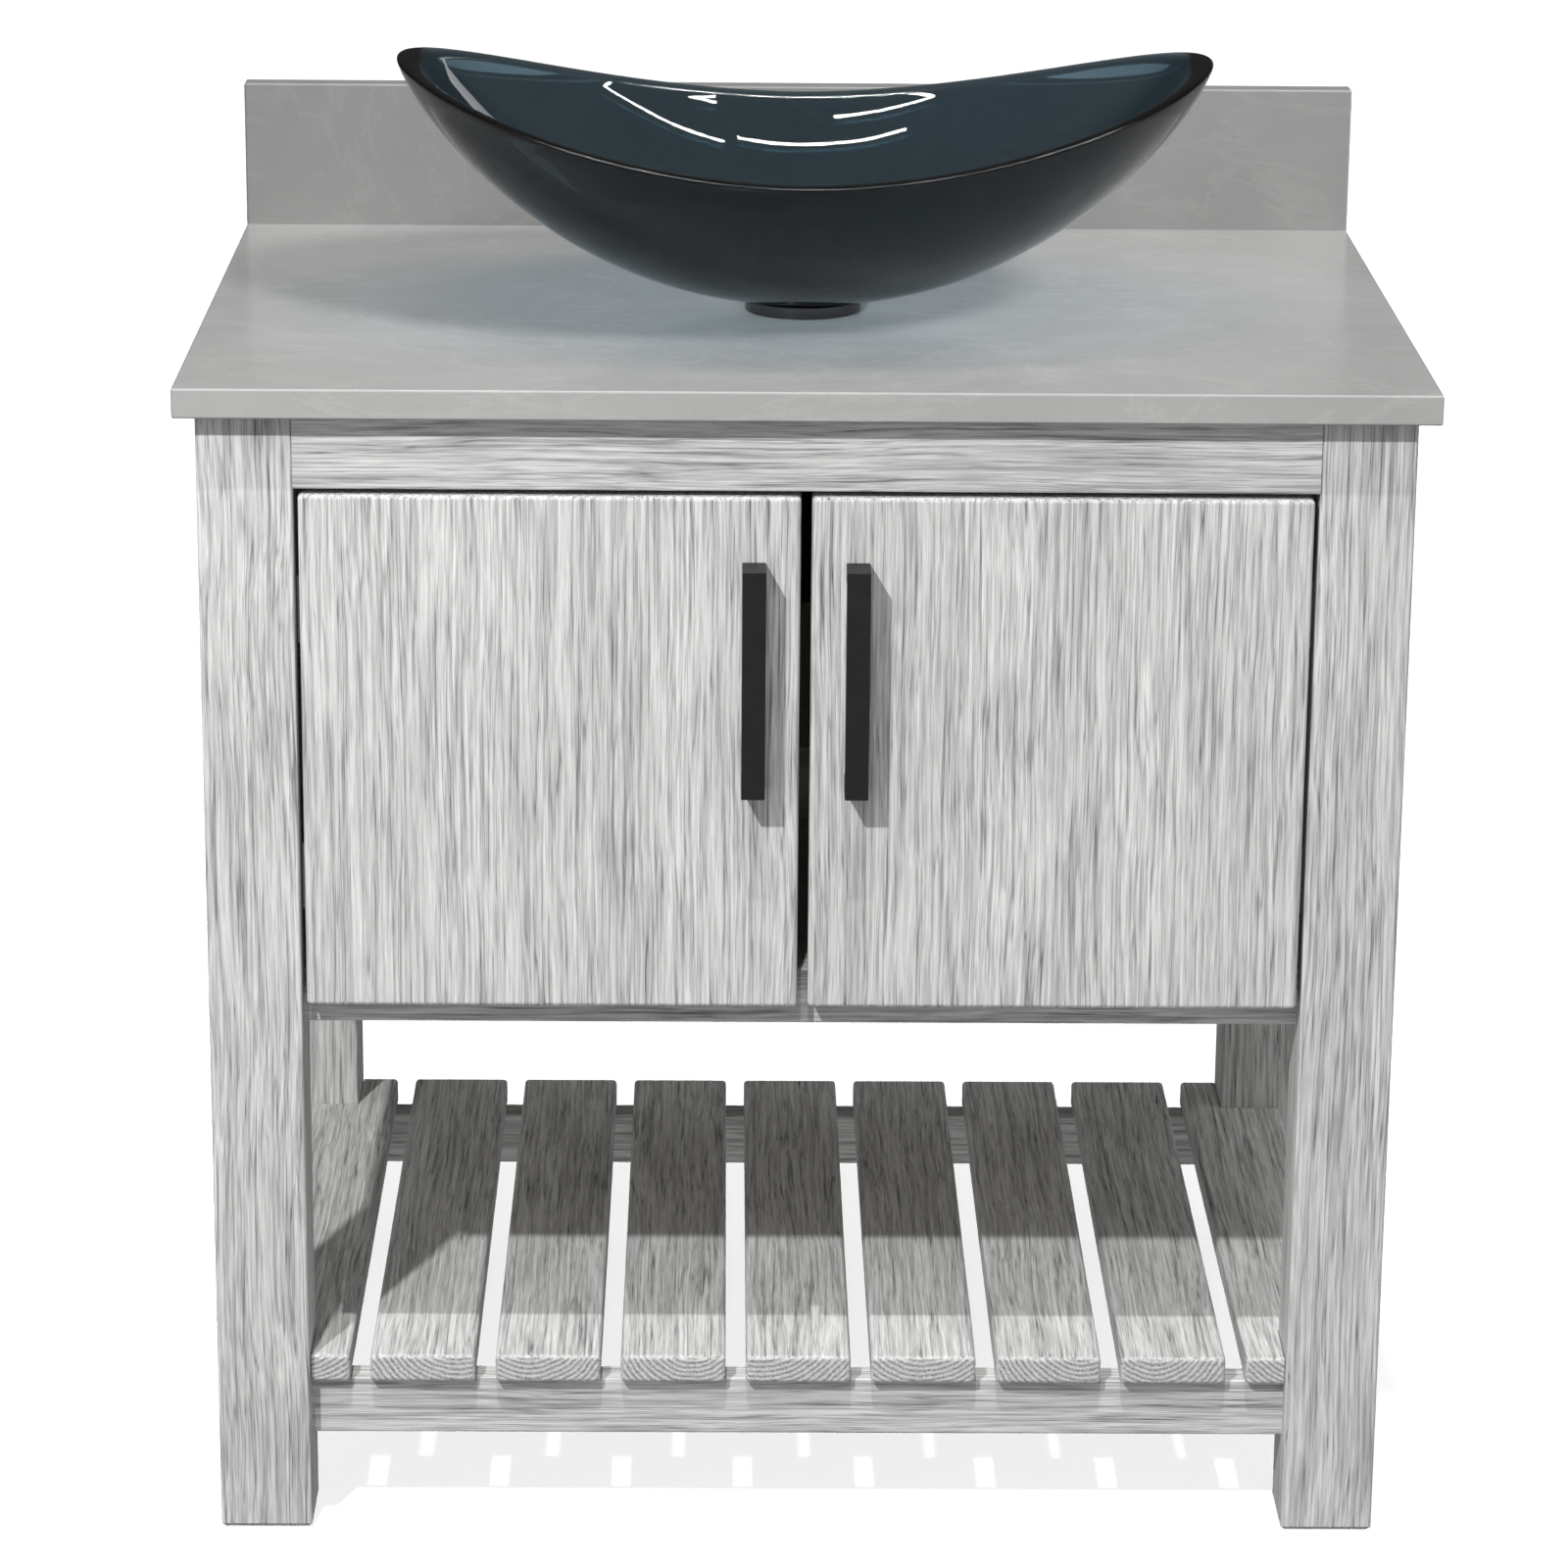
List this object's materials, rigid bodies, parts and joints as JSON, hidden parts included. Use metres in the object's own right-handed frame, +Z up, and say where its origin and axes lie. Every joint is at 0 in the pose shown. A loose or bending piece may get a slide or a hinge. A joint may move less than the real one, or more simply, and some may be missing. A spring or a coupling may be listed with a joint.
{
  "type": "vessel sink vanity",
  "caption": "Washed-wood vanity with two doors and a slatted shelf, grey stone top and backsplash, and a boat-shaped smoked glass vessel sink with a pop-up drain.",
  "frame": {"origin": "on the floor, under the middle of the whole outline in plan, in the vanity's plane of symmetry", "axes": "+X to the right, +Y to the back and the wall, +Z up; the doors face -Y"},
  "size_m": [0.7874, 0.568, 0.943],
  "materials": {
    "whitewashed_wood": "light white-washed, wire-brushed grain, matt",
    "inner_wood": "plain board inside the cabinet, matt",
    "grey_stone": "polished warm-grey engineered stone, faintly mottled, opaque",
    "smoked_glass": "smoked blue-grey tempered glass, polished",
    "black_chrome": "dark polished nickel",
    "black_metal": "matt black powder coat",
    "zinc_steel": "zinc-plated steel",
    "brass_nut": "plain machined brass",
    "soft_rubber": "soft black rubber",
    "glide_plastic": "dark brown nylon"
  },
  "bodies": {
    "cabinet": {"back_panel": "inner_wood", "back_rail": "inner_wood", "backsplash": "grey_stone", "bottom_front_rail": "whitewashed_wood", "cabinet_floor": "inner_wood", "corner_blocks": "inner_wood", "countertop": "grey_stone", "drain_body": "black_chrome", "drain_nut": "brass_nut", "drain_washer": "soft_rubber", "flange_gasket": "soft_rubber", "glass_bowl": "smoked_glass", "glides": "glide_plastic", "hinge_arms_left": "zinc_steel", "hinge_arms_right": "zinc_steel", "hinge_plates_left": "zinc_steel", "hinge_plates_right": "zinc_steel", "hinge_screws_left": "zinc_steel", "hinge_screws_right": "zinc_steel", "mounting_ring": "black_chrome", "popup_cartridge": "black_chrome", "post_front_left": "whitewashed_wood", "post_front_right": "whitewashed_wood", "post_rear_left": "whitewashed_wood", "post_rear_right": "whitewashed_wood", "ring_gaskets": "soft_rubber", "shelf_screws": "zinc_steel", "shelf_slat_1": "whitewashed_wood", "shelf_slat_2": "whitewashed_wood", "shelf_slat_3": "whitewashed_wood", "shelf_slat_4": "whitewashed_wood", "shelf_slat_5": "whitewashed_wood", "shelf_slat_6": "whitewashed_wood", "shelf_slat_7": "whitewashed_wood", "shelf_slat_8": "whitewashed_wood", "shelf_slat_9": "whitewashed_wood", "side_panel_left": "whitewashed_wood", "side_panel_right": "whitewashed_wood", "stretcher_front": "whitewashed_wood", "stretcher_rear": "whitewashed_wood", "stretcher_side_left": "whitewashed_wood", "stretcher_side_right": "whitewashed_wood", "tailpiece": "black_chrome", "top_front_rail": "whitewashed_wood"},
    "left_door": {"door_bumper_left": "soft_rubber", "door_left": "whitewashed_wood", "hinge_cups_left": "zinc_steel", "hinge_pins_left": "zinc_steel", "pull_left": "black_metal", "pull_screws_left": "zinc_steel"},
    "right_door": {"door_bumper_right": "soft_rubber", "door_right": "whitewashed_wood", "hinge_cups_right": "zinc_steel", "hinge_pins_right": "zinc_steel", "pull_right": "black_metal", "pull_screws_right": "zinc_steel"},
    "stopper": {"popup_cap": "black_chrome", "popup_plug": "black_chrome", "popup_seal": "soft_rubber"}
  },
  "joints": [
    {"name": "left_door_hinge", "type": "hinge", "parent": "cabinet", "child": "left_door", "pos_m": [-0.309, -0.251, 0.536], "axis": [0, 0, -1], "range_deg": [0, 100]},
    {"name": "right_door_hinge", "type": "hinge", "parent": "cabinet", "child": "right_door", "pos_m": [0.309, -0.251, 0.536], "axis": [0, 0, 1], "range_deg": [0, 100]},
    {"name": "stopper_slide", "type": "slide", "parent": "cabinet", "child": "stopper", "axis": [0, 0, 1], "range_m": [-0.0085, 0], "stiffness_N_per_m": 400, "springref_m": 0.008}
  ]
}
